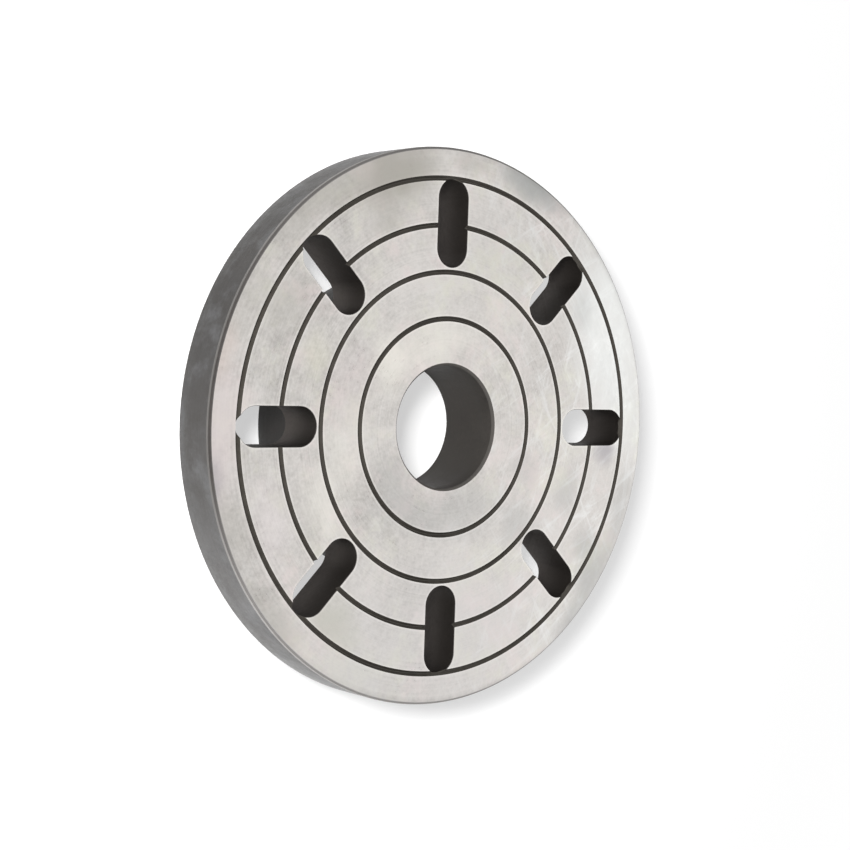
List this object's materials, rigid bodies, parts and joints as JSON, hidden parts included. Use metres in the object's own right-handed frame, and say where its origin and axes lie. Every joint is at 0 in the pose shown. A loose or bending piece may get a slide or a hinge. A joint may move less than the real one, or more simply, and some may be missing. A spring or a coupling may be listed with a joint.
{
  "type": "lathe faceplate",
  "caption": "Round lathe faceplate with a central bore, concentric grooves, radial bolt slots and a rear hub with a register recess for the spindle flange.",
  "frame": {"origin": "centre of the hub's rear face, which seats on the spindle flange and which the plate rests on", "axes": "+Z along the spindle axis, out of the working face; +X and +Y each run along a pair of bolt slots"},
  "size_m": [0.16, 0.16, 0.0315],
  "materials": {
    "machined_iron": "turned and oiled grey iron: pale ground face, darker rim, slots and bore"
  },
  "bodies": {
    "root": {"faceplate": "machined_iron"}
  },
  "joints": []
}
